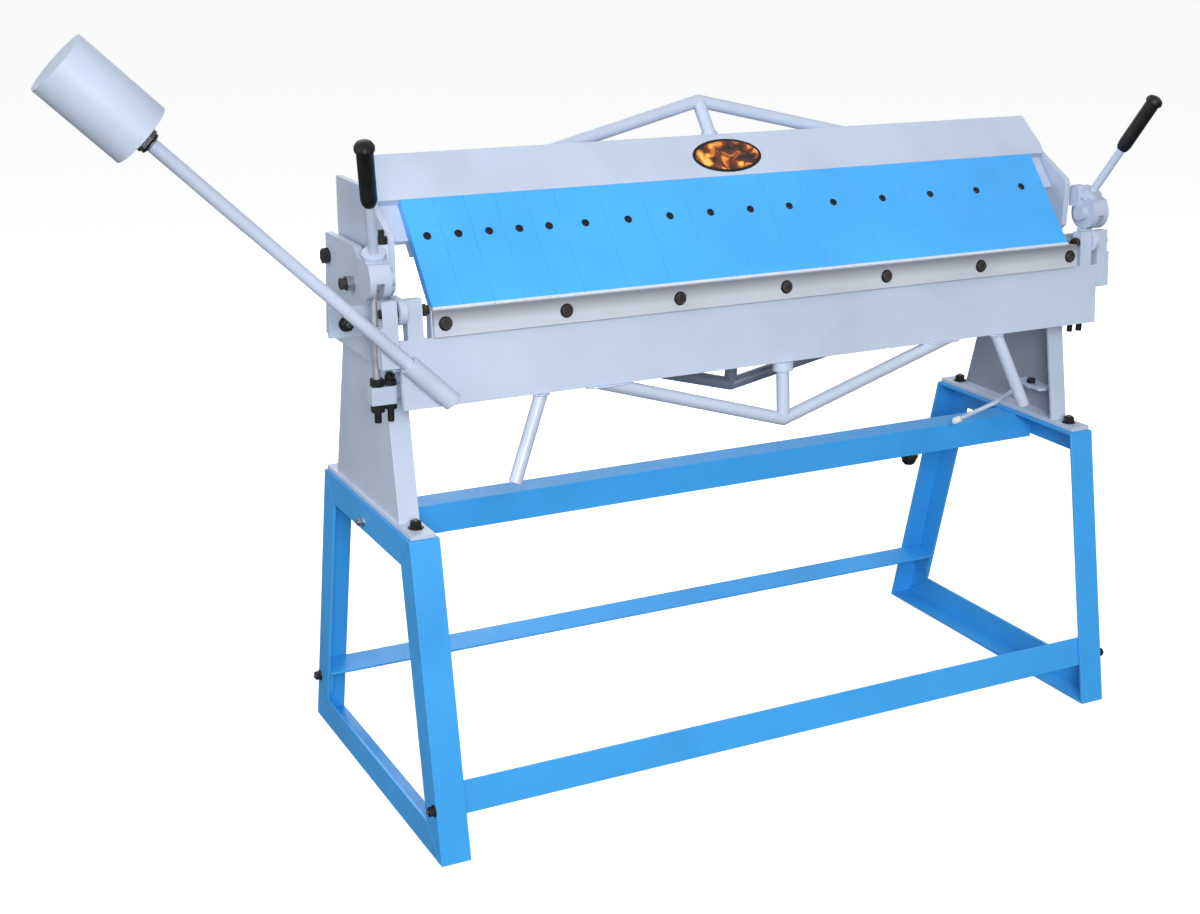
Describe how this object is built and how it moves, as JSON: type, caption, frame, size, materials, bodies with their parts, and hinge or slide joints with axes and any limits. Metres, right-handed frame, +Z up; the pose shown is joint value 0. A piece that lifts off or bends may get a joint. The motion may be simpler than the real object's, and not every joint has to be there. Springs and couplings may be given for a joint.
{
  "type": "sheet metal brake",
  "caption": "Floor-standing box-and-pan sheet metal brake with removable fingers, clamp levers, a swinging apron and a counterweight arm.",
  "frame": {"origin": "the middle of the overall box at floor level", "axes": "+X to the operator's right along the bed, +Y from the operator's side to the rear, +Z up"},
  "size_m": [1.8994, 0.602, 1.2592],
  "materials": {
    "blue_paint": "satin",
    "grey_paint": "satin",
    "finger_paint": "satin",
    "black_plastic": "matte",
    "bare_steel": "satin",
    "brass": "satin"
  },
  "bodies": {
    "frame": {"adjuster_block_left": "grey_paint", "adjuster_block_right": "grey_paint", "bed": "grey_paint", "bed_end_plate_left": "grey_paint", "bed_end_plate_right": "grey_paint", "bed_truss": "grey_paint", "hinge_pin_left": "brass", "hinge_pin_right": "brass", "leg_front_left": "blue_paint", "leg_front_right": "blue_paint", "leg_rear_left": "blue_paint", "leg_rear_right": "blue_paint", "link_rod_left": "bare_steel", "link_rod_right": "bare_steel", "pivot_bracket_left": "grey_paint", "pivot_bracket_right": "grey_paint", "rail_bottom_left": "blue_paint", "rail_bottom_right": "blue_paint", "rail_top_left": "blue_paint", "rail_top_right": "blue_paint", "side_stand_left": "grey_paint", "side_stand_right": "grey_paint", "stretcher_front": "blue_paint", "stretcher_knob": "black_plastic", "stretcher_rear": "blue_paint", "stretcher_upper": "blue_paint"},
    "apron": {"apron": "grey_paint", "apron_outer_lug_left": "grey_paint", "apron_outer_lug_right": "grey_paint", "bending_bar": "grey_paint", "apron_truss": "grey_paint", "apron_handle_left": "grey_paint", "apron_handle_right": "grey_paint", "counterweight_socket": "grey_paint", "counterweight_rod": "grey_paint", "counterweight": "grey_paint"},
    "clamp_beam": {"clamp_beam": "grey_paint", "beam_end_plate_left": "grey_paint", "beam_end_plate_right": "grey_paint", "beam_truss": "grey_paint", "finger_01": "finger_paint", "finger_02": "finger_paint", "finger_03": "finger_paint", "finger_04": "finger_paint", "finger_05": "finger_paint", "finger_06": "finger_paint", "finger_07": "finger_paint", "finger_08": "finger_paint", "finger_09": "finger_paint", "finger_10": "finger_paint", "finger_11": "finger_paint", "finger_12": "finger_paint", "finger_13": "finger_paint", "finger_14": "finger_paint", "finger_15": "finger_paint", "finger_16": "finger_paint"},
    "lever_left": {"clamp_lever_left": "grey_paint", "lever_grip_left": "black_plastic"},
    "lever_right": {"clamp_lever_right": "grey_paint", "lever_grip_right": "black_plastic"}
  },
  "joints": [
    {"name": "apron_swing", "type": "hinge", "parent": "frame", "child": "apron", "pos_m": [0.20455, -0.156, 0.852], "axis": [-1, 0, 0], "range_deg": [-5.9, 129.1]},
    {"name": "beam_lift", "type": "hinge", "parent": "frame", "child": "clamp_beam", "pos_m": [0.20455, -0.001, 0.867], "axis": [-1, 0, 0], "range_deg": [0, 15]},
    {"name": "lever_turn_left", "type": "hinge", "parent": "frame", "child": "lever_left", "pos_m": [-0.48545, -0.119, 0.897], "axis": [-1, 0, 0], "range_deg": [0, 60]},
    {"name": "lever_turn_right", "type": "hinge", "parent": "frame", "child": "lever_right", "pos_m": [0.89455, -0.119, 0.897], "axis": [-1, 0, 0], "range_deg": [0, 60]}
  ],
  "couplings": [
    {"joint": "lever_turn_left", "follows": "beam_lift", "ratio": 4},
    {"joint": "lever_turn_right", "follows": "beam_lift", "ratio": 4}
  ]
}
